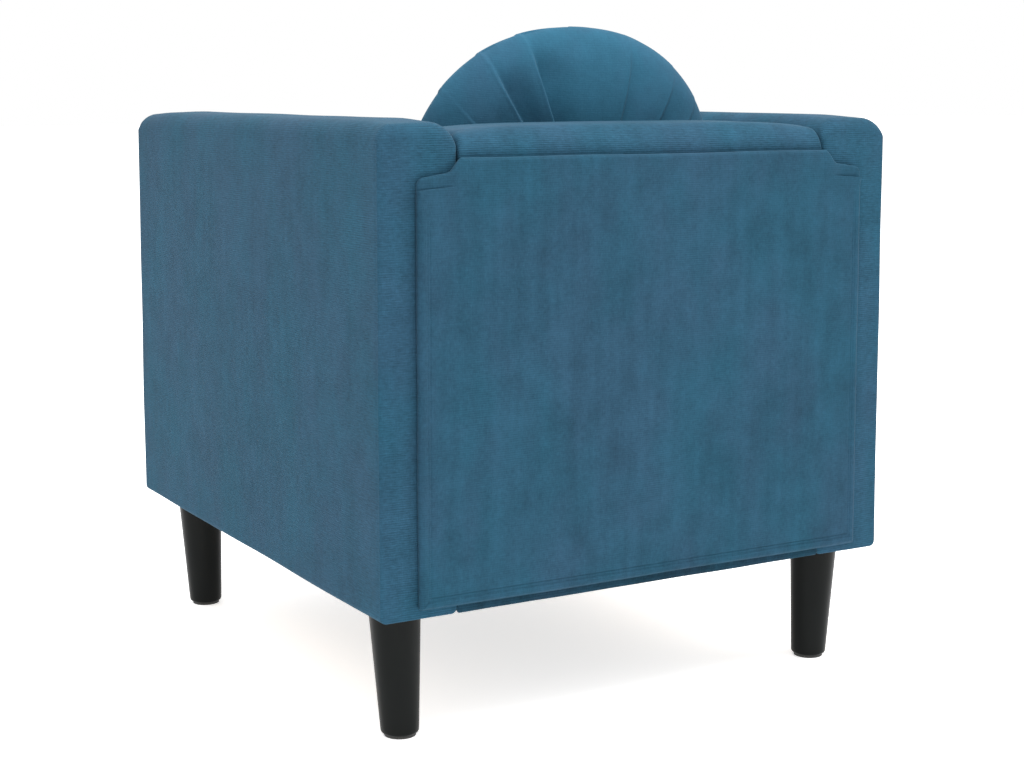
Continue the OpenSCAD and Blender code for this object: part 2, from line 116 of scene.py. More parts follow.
RIB_PITCH = 2.5 * MM
FLOOR_REACH = 30.0

VELVET_TEAL = (0.0158, 0.067, 0.108)
VELVET_GREY = (0.0212, 0.0635, 0.106)


# ---------------------------------------- mesh helpers

def rounded_outline(corners, radii, edge_steps, arc_steps=6, inset=0.0):
    """A closed counter-clockwise outline with round corners, drawn in by inset.

    Side i runs from the middle of corner i's arc to the middle of the next one's. Returns
    points, outward normals and the index at which each side starts.
    """
    corners = np.array(corners, float)
    count = len(corners)
    along = np.roll(corners, -1, axis=0) - corners
    along /= np.linalg.norm(along, axis=1)[:, None]
    inward = np.stack([-along[:, 1], along[:, 0]], axis=1)
    arcs = []
    for i in range(count):
        n1, n2 = inward[i - 1], inward[i]
        turn = math.atan2(n1[0] * n2[1] - n1[1] * n2[0], n1 @ n2)
        sign = 1.0 if turn > 0 else -1.0
        corner = corners[i] + inset * (n1 + n2) / (1 + n1 @ n2)
        radius = max(radii[i] - sign * inset, 0.2 * MM)
        reach = radius * math.tan(abs(turn) / 2)
        centre = corner - along[i - 1] * reach + n1 * radius * sign
        normals = []
        for s in np.linspace(0, 1, 2 * arc_steps + 1):
            c, d = math.cos(turn * s), math.sin(turn * s)
            normals.append([-(c * n1[0] - d * n1[1]), -(d * n1[0] + c * n1[1])])
        normals = np.array(normals)
        arcs.append((centre + sign * radius * normals, normals))
    points, normals, starts = [], [], []
    for i in range(count):
        starts.append(sum(len(p) for p in points))
        (p1, n1), (p2, n2) = arcs[i], arcs[(i + 1) % count]
        steps = np.linspace(0, 1, edge_steps[i] + 1)[1:-1, None]
        points += [p1[arc_steps:], p1[-1] + (p2[0] - p1[-1]) * steps, p2[:arc_steps]]
        normals += [n1[arc_steps:], n1[-1] + (n2[0] - n1[-1]) * steps, n2[:arc_steps]]
    return np.concatenate(points), np.concatenate(normals), starts


def rounding(depth, radius):
    """How far a round edge has drawn in at a depth from its end face."""
    left = np.clip(radius - depth, 0, radius)
    return radius - np.sqrt(np.maximum(radius**2 - left**2, 0))


def filled(ring, starts):
    """Fills a four-sided ring of points with an even grid, with shape (rows, columns, 3)."""
    a, b, c, d = starts
    count = len(ring)
    low = ring[a:b + 1]
    right = ring[b:c + 1]
    high = ring[c:d + 1][::-1]
    left = np.concatenate([ring[d:count], ring[:1]])[::-1]
    u = np.linspace(0, 1, len(low))[None, :, None]
    v = np.linspace(0, 1, len(left))[:, None, None]
    grid = (1 - v) * low[None] + v * high[None] + (1 - u) * left[:, None] + u * right[:, None]
    grid = grid - (
        (1 - u) * (1 - v) * low[0] + u * (1 - v) * low[-1] + (1 - u) * v * high[0] + u * v * high[-1]
    )
    for _ in range(300):
        inner = grid[:-2, 1:-1] + grid[2:, 1:-1] + grid[1:-1, :-2] + grid[1:-1, 2:]
        grid[1:-1, 1:-1] = inner / 4
    return grid


def number_grid(points, grid, starts, first, count):
    """Adds a grid's inner points and returns the number of every grid point.

    The grid's rim is the ring of count points that starts at first.
    """
    rows, columns = grid.shape[:2]
    a, b, c, d = starts
    index = np.zeros((rows, columns), int)
    index[0] = np.arange(a, b + 1)
    index[:, -1] = np.arange(b, c + 1)
    index[-1] = np.arange(c, d + 1)[::-1]
    index[:, 0] = np.concatenate([np.arange(d, count), [0]])[::-1]
    index += first
    for r in range(1, rows - 1):
        for k in range(1, columns - 1):
            index[r, k] = len(points)
            points.append(grid[r, k].tolist())
    return index.tolist()


def add(thing):
    bpy.context.scene.collection.objects.link(thing)


def make_object(name, points, faces, weave, material):
    """A smooth mesh object. weave holds one (along, across) pair of metres for each face corner."""
    mesh = bpy.data.meshes.new(name)
    mesh.from_pydata([tuple(p) for p in points], [], faces)
    layer = mesh.uv_layers.new(name="weave")
    layer.data.foreach_set("uv", np.array(weave, np.float32).ravel())
    mesh.polygons.foreach_set("use_smooth", [True] * len(mesh.polygons))
    mesh.materials.append(material)
    mesh.update()
    thing = bpy.data.objects.new(name, mesh)
    add(thing)
    return thing


def loft(name, rings, material, across, along, caps=None, dome=0.0, cap_plane=(0, 2)):
    """Joins closed rings of points into a tube, and closes its ends.

    across and along place the weave round the section and along the axis. caps holds where
    the four sides start, for ends filled with a grid that bulges by dome; without it each
    end is one flat face.
    """
    rings = np.array(rings)
    total, count = rings.shape[:2]
    points = rings.reshape(-1, 3).tolist()
    faces, weave = [], []
    across = list(across) + [across[-1] + (across[-1] - across[-2])]
    for s in range(total - 1):
        for i in range(count):
            j = (i + 1) % count
            faces.append((s * count + i, s * count + j, (s + 1) * count + j, (s + 1) * count + i))
            weave += [
                (along[s], across[i]), (along[s], across[i + 1]),
                (along[s + 1], across[i + 1]), (along[s + 1], across[i]),
            ]
    for s, outward in ((0, -1), (total - 1, 1)):
        if caps is None:
            loop = [s * count + i for i in range(count)]
            loop = loop[::-1] if outward < 0 else loop
            faces.append(tuple(loop))
            weave += [(points[i][cap_plane[0]], points[i][cap_plane[1]]) for i in loop]
            continue
        axis = rings[total - 1].mean(0) - rings[0].mean(0)
        axis /= np.linalg.norm(axis)
        grid = filled(rings[s], caps)
        away = np.linalg.norm(grid[:, :, None] - rings[s][None, None], axis=3).min(2)
        grid = grid + (dome * outward * smoothstep(away / (35 * MM)))[:, :, None] * axis
        index = number_grid(points, grid, caps, s * count, count)
        for r in range(len(index) - 1):
            for k in range(len(index[0]) - 1):
                quad = [index[r][k], index[r][k + 1], index[r + 1][k + 1], index[r + 1][k]]
                quad = quad[::-1] if outward < 0 else quad
                faces.append(tuple(quad))
                weave += [(points[q][cap_plane[0]], points[q][cap_plane[1]]) for q in quad]
    return make_object(name, points, faces, weave, material)


def section_lengths(points):
    """Distance round a closed outline at each of its points."""
    steps = np.linalg.norm(np.roll(points, -1, axis=0) - points, axis=1)
    return np.concatenate([[0], np.cumsum(steps)[:-1]])


def vertex_arrays(thing):
    """Places and normals of a mesh object's vertices."""
    mesh = thing.data
    co = np.zeros(len(mesh.vertices) * 3, np.float32)
    mesh.vertices.foreach_get("co", co)
    normal = np.zeros(len(mesh.vertices) * 3, np.float32)
    mesh.vertices.foreach_get("normal", normal)
    return co.reshape(-1, 3), normal.reshape(-1, 3)


def set_vertices(thing, co):
    thing.data.vertices.foreach_set("co", np.asarray(co, np.float32).ravel())
    thing.data.update()


def lay_weave(thing, axes_for):
    """Lays the weave flat along the two axes that axes_for gives for a face's normal, if any."""
    mesh = thing.data
    co, _ = vertex_arrays(thing)
    uv = np.zeros(len(mesh.loops) * 2, np.float32)
    mesh.uv_layers["weave"].data.foreach_get("uv", uv)
    uv = uv.reshape(-1, 2)
    for face in mesh.polygons:
        axes = axes_for(face.normal)
        if axes is None:
            continue
        for loop in face.loop_indices:
            p = co[mesh.loops[loop].vertex_index]
            uv[loop] = (p[axes[0]], p[axes[1]])
    mesh.uv_layers["weave"].data.foreach_set("uv", uv.ravel())


def end_axes(normal):
    """Keeps the ribs level where an arm's fabric turns over its front or rear end."""
    return (0, 2) if abs(normal.y) > 0.5 else None


def box_axes(normal):
    """The two axes of the side of a box that faces this way."""
    if abs(normal.z) > 0.7:
        return (0, 1)
    return (1, 2) if abs(normal.x) > abs(normal.y) else (0, 2)


def settle(thing, height, size, seed=0.0):
    """Gives stretched fabric the slight unevenness of the padding below it."""
    co, normal = vertex_arrays(thing)
    shift = Vector((seed * 3.1, seed * 1.7, seed * 2.3))
    lift = [noise.noise(Vector([c / size for c in p]) + shift) for p in co.tolist()]
    set_vertices(thing, co + normal * (height * np.array(lift))[:, None])


def smoothstep(x):
    """A soft rise from 0 to 1 as x goes from 0 to 1."""
    x = np.clip(x, 0, 1)
    return x * x * (3 - 2 * x)


# ---------------------------------------- materials

class Shader:
    """A material's node tree, with short calls to add nodes to it."""

    def __init__(self, name):
        self.material = bpy.data.materials.new(name)
        self.material.use_nodes = True
        self.nodes = self.material.node_tree.nodes
        self.links = self.material.node_tree.links
        self.bsdf = self.nodes["Principled BSDF"]

    def node(self, kind, **settings):
        made = self.nodes.new(kind)
        for key, value in settings.items():
            setattr(made, key, value)
        return made

    def put(self, value, socket):
        if isinstance(value, bpy.types.NodeSocket):
            self.links.new(value, socket)
        else:
            socket.default_value = value

    def math(self, operation, a, b=0.0, c=0.0):
        made = self.node("ShaderNodeMath", operation=operation)
        for value, socket in zip((a, b, c), made.inputs):
            self.put(value, socket)
        return made.outputs[0]

    def times(self, a, b):
        return self.math("MULTIPLY", a, b)

    def swing(self, value, weight):
        """A noise made to swing evenly about nothing, by a weight."""
        return self.times(self.math("SUBTRACT", value, 0.5), weight)

    def place(self):
        return self.node("ShaderNodeTexCoord").outputs["Object"]

    def noise(self, vector, scale, detail=2.0, roughness=0.5):
        made = self.node("ShaderNodeTexNoise")
        self.put(vector, made.inputs["Vector"])
        made.inputs["Scale"].default_value = scale
        made.inputs["Detail"].default_value = detail
        made.inputs["Roughness"].default_value = roughness
        return made.outputs["Fac"]

    def scaled(self, vector, factors):
        made = self.node("ShaderNodeMapping")
        self.put(vector, made.inputs["Vector"])
        made.inputs["Scale"].default_value = factors
        return made.outputs["Vector"]

    def ramp(self, fac, stops):
        made = self.node("ShaderNodeValToRGB")
        self.put(fac, made.inputs["Fac"])
        elements = made.color_ramp.elements
        while len(elements) < len(stops):
            elements.new(0.5)
        for element, (position, colour) in zip(elements, stops):
            element.position = position
            element.color = (*colour, 1)
        return made.outputs["Color"]

    def bump(self, height, distance, strength=1.0, normal=None):
        made = self.node("ShaderNodeBump")
        self.put(height, made.inputs["Height"])
        made.inputs["Distance"].default_value = distance
        made.inputs["Strength"].default_value = strength
        if normal is not None:
            self.links.new(normal, made.inputs["Normal"])
        return made.outputs["Normal"]

    def set(self, **values):
        for key, value in values.items():
            self.put(value, self.bsdf.inputs[key.replace("_", " ")])


def velvet(name, ribs=1.0, streaks=1.0, light=1.0):
    """Short-pile velvet: fine ribs across the weave, soft streaks and a patchy nap."""
    s = Shader(name)
    weave = s.node("ShaderNodeUVMap", uv_map="weave").outputs["UV"]
    place = s.place()
    split = s.node("ShaderNodeSeparateXYZ")
    s.put(weave, split.inputs[0])

    wander = s.noise(s.scaled(weave, (14, 60, 1)), 1.0, 2.0)
    turns = s.times(split.outputs["Y"], 2 * math.pi / RIB_PITCH)
    rib = s.math("SINE", s.math("ADD", turns, s.times(wander, 3.0)))
    dashes = s.noise(s.scaled(weave, (120, 520, 1)), 1.0, 2.0, 0.6)
    threads = s.noise(s.scaled(weave, (620, 150, 1)), 1.0, 2.0, 0.6)
    pile = s.noise(weave, 1300.0, 2.0, 0.6)
    clouds = s.noise(place, 30.0, 5.0, 0.66)
    patch = s.noise(s.scaled(place, (8, 8, 5)), 1.0, 4.0, 0.6)
    streak = s.noise(s.scaled(weave, (70, 8, 1)), 1.0, 4.0, 0.6)
    worn = s.times(s.math("SUBTRACT", patch, 0.34), 3.0)
    speck = s.math("GREATER_THAN", s.noise(weave, 420.0, 1.0), 0.71)

    # light scales the whole colour. Copies set darker than the main velvet paint shade into it, and a copy
    # set lighter paints light.
    gain = s.math("MULTIPLY_ADD", s.times(rib, worn), 0.17 * ribs, light)
    for part, weight in (
        (dashes, 0.75 * ribs), (threads, 0.40), (pile, 0.35),
        (streak, 0.30 * streaks), (clouds, 0.50), (patch, 0.30),
    ):
        gain = s.math("ADD", gain, s.swing(part, weight))
    gain = s.math("ADD", gain, s.times(speck, 0.16))
    drift = s.noise(s.scaled(place, (11, 11, 6)), 1.0, 3.0, 0.55)
    hue = s.ramp(drift, [(0.36, VELVET_TEAL), (0.64, VELVET_GREY)])
    colour = s.node("ShaderNodeVectorMath", operation="SCALE")
    s.put(hue, colour.inputs[0])
    s.put(gain, colour.inputs["Scale"])

    relief = s.math("ADD", s.times(rib, 0.35 * ribs), s.times(pile, 0.4))
    relief = s.math("ADD", relief, s.times(dashes, 0.9))
    fine = s.bump(relief, 0.35 * MM, 0.5)
    broad = s.bump(clouds, 1.6 * MM, 0.35, fine)
    s.set(Base_Color=colour.outputs[0], Normal=broad, Roughness=0.92, Specular_IOR_Level=0.1)
    s.set(Sheen_Weight=0.06, Sheen_Roughness=0.40, Sheen_Tint=(0.55, 0.64, 0.72, 1))
    return s.material


def black_leg():
    """Black satin lacquer with a faint orange-peel surface."""
    s = Shader("leg_black")
    place = s.place()
    peel = s.noise(place, 420.0, 2.0)
    mottle = s.noise(s.scaled(place, (30, 30, 8)), 1.0, 3.0)
    colour = s.ramp(mottle, [(0.3, (0.0055, 0.0065, 0.0063)), (0.7, (0.0075, 0.0086, 0.0083))])
    rough = s.math("MULTIPLY_ADD", mottle, 0.12, 0.26)
    s.set(Base_Color=colour, Roughness=rough, Specular_IOR_Level=0.065)
    s.set(Normal=s.bump(peel, 0.05 * MM, 0.3))
    return s.material


def timber():
    """Planed beech: long rings, darker pores and a dull surface."""
    s = Shader("timber")
    place = s.place()
    drift = s.noise(s.scaled(place, (6, 1.2, 6)), 1.0, 3.0)
    rings = s.noise(s.scaled(place, (90, 4, 90)), 1.0, 4.0, 0.6)
    pores = s.noise(s.scaled(place, (900, 30, 900)), 1.0, 2.0)
    tone = s.math("ADD", s.times(rings, 0.7), s.times(drift, 0.4))
    tone = s.math("ADD", tone, s.swing(pores, 0.3))
    colour = s.ramp(tone, [
        (0.3, (0.40, 0.26, 0.14)), (0.55, (0.58, 0.40, 0.23)), (0.8, (0.70, 0.53, 0.33)),
    ])
    s.set(Base_Color=colour, Roughness=0.62, Normal=s.bump(pores, 0.2 * MM, 0.4))
    return s.material


def speckled(name, low, high, scale, roughness, depth):
    """A matt surface of specks or fibres: board, felt, foam, wadding and plain cloth."""
    s = Shader(name)
    place = s.place()
    fleck = s.noise(place, scale, 4.0, 0.65)
    patch = s.noise(place, 14.0, 2.0)
    tone = s.math("ADD", s.times(fleck, 0.75), s.times(patch, 0.25))
    s.set(Base_Color=s.ramp(tone, [(0.32, low), (0.68, high)]), Roughness=roughness)
    s.set(Normal=s.bump(fleck, depth, 0.6))
    return s.material


def woven(name, low, high, pitch, roughness=0.8):
    """A plain weave of two crossing threads, for straps, tape and twine."""
    s = Shader(name)
    place = s.place()
    split = s.node("ShaderNodeSeparateXYZ")
    s.put(place, split.inputs[0])
    turn = 2 * math.pi / pitch
    warp = s.math("SINE", s.times(split.outputs["X"], turn))
    weft = s.math("SINE", s.times(split.outputs["Z"], turn))
    cross = s.math("MULTIPLY_ADD", s.times(warp, weft), 0.35, 0.5)
    fuzz = s.noise(place, 900.0, 3.0)
    tone = s.math("ADD", cross, s.swing(fuzz, 0.4))
    s.set(Base_Color=s.ramp(tone, [(0.2, low), (0.8, high)]), Roughness=roughness)
    s.set(Normal=s.bump(cross, 0.3 * MM, 0.6))
    return s.material


def plated_steel():
    """Zinc-plated steel with fine drawing marks."""
    s = Shader("steel")
    place = s.place()
    marks = s.noise(s.scaled(place, (40, 900, 900)), 1.0, 3.0)
    bloom = s.noise(place, 60.0, 3.0)
    rough = s.math("MULTIPLY_ADD", bloom, 0.25, 0.22)
    colour = s.ramp(marks, [(0.3, (0.42, 0.43, 0.45)), (0.7, (0.60, 0.61, 0.62))])
    s.set(Base_Color=colour, Metallic=1.0, Roughness=rough, Normal=s.bump(marks, 0.05 * MM, 0.3))
    return s.material


MATERIALS = {
    "velvet": velvet("velvet", light=0.93),
    # The outside back's velvet has fainter ribs and stronger streaks, and is darker than the main velvet:
    # painted shade on the panel and its tabs.
    "panel_velvet_painted_shade": velvet("panel_velvet_painted_shade", ribs=0.42, streaks=1.25, light=0.85),
    # The hem strip's velvet is the same velvet at about half brightness: painted shade under the panel's
    # bottom edge.
    "hem_velvet_painted_shade": velvet("hem_velvet_painted_shade", ribs=0.42, light=0.52),
    "cushion_velvet": velvet("cushion_velvet", ribs=0.9),
    # The pillow's velvet has fainter ribs and streaks and is lighter than the main velvet: painted light
    # on the pillow and its buttons.
    "pillow_velvet": velvet("pillow_velvet", ribs=0.28, streaks=0.8, light=1.28),
    "foam": speckled("foam", (0.66, 0.60, 0.38), (0.86, 0.80, 0.56), 420.0, 0.95, 0.6 * MM),
    "wadding": speckled("wadding", (0.72, 0.72, 0.70), (0.88, 0.88, 0.86), 90.0, 0.95, 1.5 * MM),
    "timber": timber(),
    "hardboard": speckled("hardboard", (0.17, 0.10, 0.05), (0.30, 0.19, 0.10), 700.0, 0.7, 0.2 * MM),
    "steel": plated_steel(),
    "leg_black": black_leg(),
    "felt": speckled("felt", (0.03, 0.03, 0.03), (0.08, 0.08, 0.075), 600.0, 0.95, 0.4 * MM),
    "webbing": woven("webbing", (0.24, 0.19, 0.14), (0.46, 0.40, 0.31), 3.0 * MM),
    "paper_cord": woven("paper_cord", (0.34, 0.26, 0.16), (0.52, 0.42, 0.28), 2.2 * MM),
    "twine": woven("twine", (0.62, 0.57, 0.46), (0.84, 0.80, 0.70), 1.2 * MM),
    "black_cloth": speckled(
        "black_cloth", (0.010, 0.010, 0.011), (0.030, 0.030, 0.032), 520.0, 0.9, 0.2 * MM,
    ),
}


def dress_cad_nodes():
    """Gives each CAD node the material that the record names for it."""
    slots = {row["node"]: row["material_slot"] for row in frame["record"]["subparts"]}
    for name, node in frame["nodes"].items():
        node.data.materials.clear()
        node.data.materials.append(MATERIALS[slots[name]])


# ---------------------------------------- the arms

END_DEPTHS = np.array([0, 0.4, 1.0, 1.8, 2.8, 4.2, 6, 8.5, 11.5, 15, 19.5, 25]) * MM


def end_stations(start, end, count):
    """Places between two ends with their depths from the nearer one, closest beside the ends."""
    deepest = END_DEPTHS[-1]
    stations = [(start + d, d) for d in END_DEPTHS]
    stations += [(place, deepest) for place in np.linspace(start + deepest, end - deepest, count)[1:-1]]
    return stations + [(end - d, d) for d in END_DEPTHS[::-1]]


def make_arm(side_name, sign):
    """One arm's cover over its padding: a long box with round top edges and soft ends."""
    low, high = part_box("arm_cover_" + side_name)
    inner, outer = (low.x, high.x) if sign > 0 else (-high.x, -low.x)
    bottom = low.z + ARM_LIFT
    top = high.z
    corners = [
        (inner, bottom), (outer, bottom), (outer, top - ARM_FALL), (outer - ARM_FALL_W, top),
        (inner, top),
    ]
    radii = [ARM_LOW_R, ARM_LOW_R, ARM_OUT_R, ARM_FALL_R, ARM_IN_R]
    outline, normals, starts = rounded_outline(corners, radii, (22, 45, 4, 2, 45), 8)
    patch = (starts[0], starts[1], starts[2], starts[4])
    over_top = np.maximum(normals[:, 1], 0)
    under = np.maximum(-normals[:, 1], 0)
    inside = np.maximum(-normals[:, 0], 0)
    end_r = ARM_SEAM_R + (ARM_END_TOP_R - ARM_SEAM_R) * over_top
    end_r = end_r + (ARM_END_IN_R - ARM_SEAM_R) * inside + (ARM_END_LOW_R - ARM_SEAM_R) * under
    stations = end_stations(low.y, high.y, 62)
    height = (outline[:, 1] - bottom) / (top - bottom)
    swell = np.sin(np.clip(height, 0, 1) * math.pi) * np.abs(normals[:, 0])
    rings = []
    for y, depth in stations:
        seam = SEAM_DEPTH * np.exp(-((depth - SEAM_INSET) / (1.2 * MM)) ** 2) * (normals[:, 0] > 0.9)
        share = math.sin(math.pi * (y - low.y) / (high.y - low.y)) ** 0.5 if high.y > y > low.y else 0
        inboard = smoothstep(min(y - low.y, high.y - y) / ARM_CREST_FADE)
        crest = (ARM_CREST * inboard - ARM_END_DROP * (1 - inboard)) * over_top
        lift = ARM_SWELL * swell * share + crest
        drawn = outline + normals * (lift - rounding(depth, end_r) - seam)[:, None]
        rings.append(np.stack([sign * drawn[:, 0], np.full(len(drawn), y), drawn[:, 1]], axis=1))
    rings = np.array(rings)
    if sign > 0:
        rings = rings[::-1]
        stations = stations[::-1]
    along = [y for y, _ in stations]
    arm = loft("arm_upholstery_" + side_name, rings, MATERIALS["velvet"],
               section_lengths(outline), along, caps=patch, dome=ARM_END_DOME)
    lay_weave(arm, end_axes)
    settle(arm, 0.9 * MM, 0.13, seed=sign)
    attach(arm, "chair")
    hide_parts("arm_cover_" + side_name, "arm_padding_" + side_name)


# ---------------------------------------- the back

def make_back():
    """The back between the arms: a raked front, a round top and a flat rear."""
    low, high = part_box("back_cover")
    rake_top = low.y + (high.z - low.z) * BACK_RAKE
    corners = [(low.y, low.z), (high.y, low.z), (high.y, high.z), (rake_top, high.z)]
    radii = [*BACK_LOW_R, BACK_REAR_R, BACK_FRONT_R]
    outline, normals, starts = rounded_outline(corners, radii, (12, 40, 12, 40), 9)
    over_top = np.maximum(normals[:, 1], 0)
    front = np.maximum(-normals[:, 0], 0)
    rear = smoothstep((normals[:, 0] - 0.2) / 0.6)
    end_r = 2 * MM + BACK_END_R * np.hypot(over_top, front)
    height = (outline[:, 1] - low.z) / (high.z - low.z)
    swell = np.sin(np.clip(height * 1.05, 0, 1) * math.pi) ** 0.7 * front
    x0, x1 = low.x + BACK_END_GAP, high.x - BACK_END_GAP
    stations = end_stations(x0, x1, 56)
    rings = []
    for x, depth in stations:
        share = 1 - (2 * (x - x0) / (x1 - x0) - 1) ** 2
        lift = BACK_SWELL * swell * share ** 0.5
        lift = lift + over_top * (BACK_CREST - BACK_END_DROP * (1 - share) ** 2.5)
        lift = lift * (1 - rear)
        drawn = outline + normals * (lift - rounding(depth, end_r))[:, None]
        rings.append(np.stack([np.full(len(drawn), x), drawn[:, 0], drawn[:, 1]], axis=1))
    back = loft("back_upholstery", rings, MATERIALS["velvet"], section_lengths(outline),
                [x for x, _ in stations], caps=starts, cap_plane=(1, 2))
    settle(back, 0.9 * MM, 0.11, seed=3)
    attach(back, "chair")
    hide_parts("back_cover", "back_padding")


# ---------------------------------------- the outside back panel

# Insets of the outlines on a layer's face, closest over its round edge and its hem lines.
PANEL_INSETS = np.array([
    0, 0.35, 0.9, 1.7, 2.8, 4.2, 6, 8, 8.8, 9.5, 10.2, 11, 12.2, 13, 13.8, 15, 18, 24,
]) * MM
TAB_INSETS = np.array([0, 0.3, 0.7, 1.2, 1.8, 2.6, 3.6, 5.0]) * MM
UNDERCUT = ((2.2, 0), (1.3, 1.4), (0.4, 3.2), (0, 5))  # insets and heights of a turned edge
LAYER_ARC = 5


def flat_layer(name, outlines, heights, y_back, starts, material, surface=None):
    """A filled layer facing the rear, built from outlines in X and Z and their heights.

    surface gives the height inside the last outline. Without it the layer is slightly domed.
    """
    rings = [
        np.stack([points[:, 0], y_back + np.broadcast_to(rise, len(points)), points[:, 1]], axis=1)
        for points, rise in zip(outlines, heights)
    ]
    rings = np.array(rings)
    total, count = rings.shape[:2]
    points = rings.reshape(-1, 3).tolist()
    faces = [tuple(range(count))]
    for s in range(total - 1):
        for i in range(count):
            j = (i + 1) % count
            faces.append((s * count + i, (s + 1) * count + i, (s + 1) * count + j, s * count + j))
    last = (total - 1) * count
    grid = filled(rings[-1], starts)
    if surface is None:
        away = np.linalg.norm(grid[:, :, None] - rings[-1][None, None], axis=3).min(2)
        grid[:, :, 1] += 0.8 * MM * smoothstep(away / (90 * MM))
    else:
        grid[:, :, 1] = y_back + surface(grid[:, :, 0], grid[:, :, 2])
    index = number_grid(points, grid, starts, last, count)
    faces += [
        (index[r][k], index[r + 1][k], index[r + 1][k + 1], index[r][k + 1])
        for r in range(len(index) - 1)
        for k in range(len(index[0]) - 1)
    ]
    weave = [(points[i][0], points[i][2]) for face in faces for i in face]
    return make_object(name, points, faces, weave, MATERIALS[material])


def undercut(corners, radii, steps):
    """Outlines and heights of a layer's turned-under edge."""
    outlines = [rounded_outline(corners, radii, steps, LAYER_ARC, d * MM)[0] for d, _ in UNDERCUT]
    return outlines, [rise * MM for _, rise in UNDERCUT]


def mirrored(half):
    """A right-hand half outline, closed by its own mirror image."""
    return half + [(-x, z) for x, z in half[::-1]]


def make_outside_back():
    """The panel closing the back, and the turned tab that shows at each upper corner, both in velvet
    darkened with painted shade.
    """
    low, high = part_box("outside_back_cover")
    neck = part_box("back_cover")[1].x - 0.5 * MM
    top = high.z + 1 * MM
    shoulder = top - SHOULDER_DROP
    tab_low = shoulder - TAB_H
    depth = high.y - low.y
    corners = mirrored([
        (high.x, low.z), (high.x, tab_low), (neck + 5 * MM, tab_low + 4 * MM), (neck - 6 * MM, top),
    ])
    radii = [PANEL_CORNER_R, 1.2 * MM, 8 * MM, 4 * MM]
    radii += radii[::-1]
    chain = [12, 6, 60, 6, 12]
    steps = [52, *chain, 52, sum(chain) + 2 * LAYER_ARC * (len(chain) - 1)]
    outline, normals, starts = rounded_outline(corners, radii, steps, LAYER_ARC)
    patch = (0, starts[1], starts[6], starts[7])
    sewn = smoothstep((outline[:, 1] - tab_low + 2 * MM) / (1.5 * MM))
    sewn *= smoothstep((np.abs(outline[:, 0]) - neck + 7 * MM) / (2 * MM))
    edge_r = PANEL_EDGE_R * (1 - sewn) + 0.5 * MM * sewn
    tucked = sewn * smoothstep((neck + 9 * MM - np.abs(outline[:, 0])) / (6 * MM))
    hemmed = smoothstep((0.6 - normals[:, 1]) / 0.3) * (1 - sewn)
    hemmed = hemmed * (1 + smoothstep((-normals[:, 1] - 0.6) / 0.3))
    hemmed = hemmed * (1 - smoothstep((outline[:, 1] - tab_low + 34 * MM) / (14 * MM)))
    outlines, heights = undercut(corners, radii, steps)
    for inset in PANEL_INSETS:
        outlines.append(rounded_outline(corners, radii, steps, LAYER_ARC, inset)[0])
        groove = sum(HEM_GROOVE * math.exp(-((inset - line) / (0.6 * MM)) ** 2) for line in HEM_LINES)
        hem = HEM_RISE * smoothstep((HEM_LINES[0] + 1 * MM - inset) / (1.5 * MM)) * (inset > 3 * MM)
        tuck = PANEL_TUCK * tucked * (1 - smoothstep(inset / (5 * MM)))
        heights.append(depth - rounding(inset, edge_r) + (hem - groove) * hemmed - tuck)
    panel = flat_layer("outside_back_panel", outlines, heights, low.y, patch, "panel_velvet_painted_shade")
    settle(panel, 0.8 * MM, 0.10, seed=5)
    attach(panel, "chair")
    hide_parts("outside_back_cover", "outside_back_wadding")
    for sign, side_name in ((1, "left"), (-1, "right")):
        make_tab("outside_back_tab_" + side_name, sign, neck, high.x - 0.3 * MM, top, low.y, depth)


def make_tab(name, sign, neck, side, top, y_back, depth):
    """Turned fabric at a shoulder of the outside back panel, lying just below its face."""
    shoulder = top - SHOULDER_DROP
    tab_low = shoulder - TAB_H
    inner = neck - 14 * MM
    corners = [
        (inner, tab_low - 14 * MM), (side, tab_low - 14 * MM), (side, shoulder - SHOULDER_FALL),
        (neck + 13 * MM, shoulder + 1.5 * MM), (neck, top), (inner, top),
    ]
    radii = [1 * MM, 1 * MM, 9 * MM, 10 * MM, 5 * MM, 1 * MM]
    chain = [16, 8, 6]
    steps = [sum(chain) + 2 * LAYER_ARC * (len(chain) - 1), 20, *chain, 20]
    sides = (0, 1, 2, 5)
    if sign < 0:
        corners = [(-x, z) for x, z in corners[::-1]]
        radii = radii[::-1]
        steps = steps[4::-1] + steps[5:]
        sides = (0, 3, 4, 5)

    def surface(x, z):
        away = np.abs(x) - neck
        drop = TAB_DROP * smoothstep((away - 5 * MM) / (20 * MM))
        inboard = smoothstep((-2 * MM - away) / (9 * MM))
        below = smoothstep((top - 28 * MM - z) / (12 * MM))
        return depth - drop + TAB_LAP * (1 - 3 * np.maximum(inboard, below))

    outlines, heights = undercut(corners, radii, steps)
    for inset in TAB_INSETS:
        points, _, starts = rounded_outline(corners, radii, steps, LAYER_ARC, inset)
        outlines.append(points)
        edge_r = 3 * MM + 2 * MM * smoothstep((neck + 6 * MM - np.abs(points[:, 0])) / (8 * MM))
        heights.append(surface(points[:, 0], points[:, 1]) - rounding(inset, edge_r))
    patch = tuple(starts[i] for i in sides)
    tab = flat_layer(name, outlines, heights, y_back, patch, "panel_velvet_painted_shade", surface)
    settle(tab, 0.8 * MM, 0.10, seed=5)
    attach(tab, "chair")


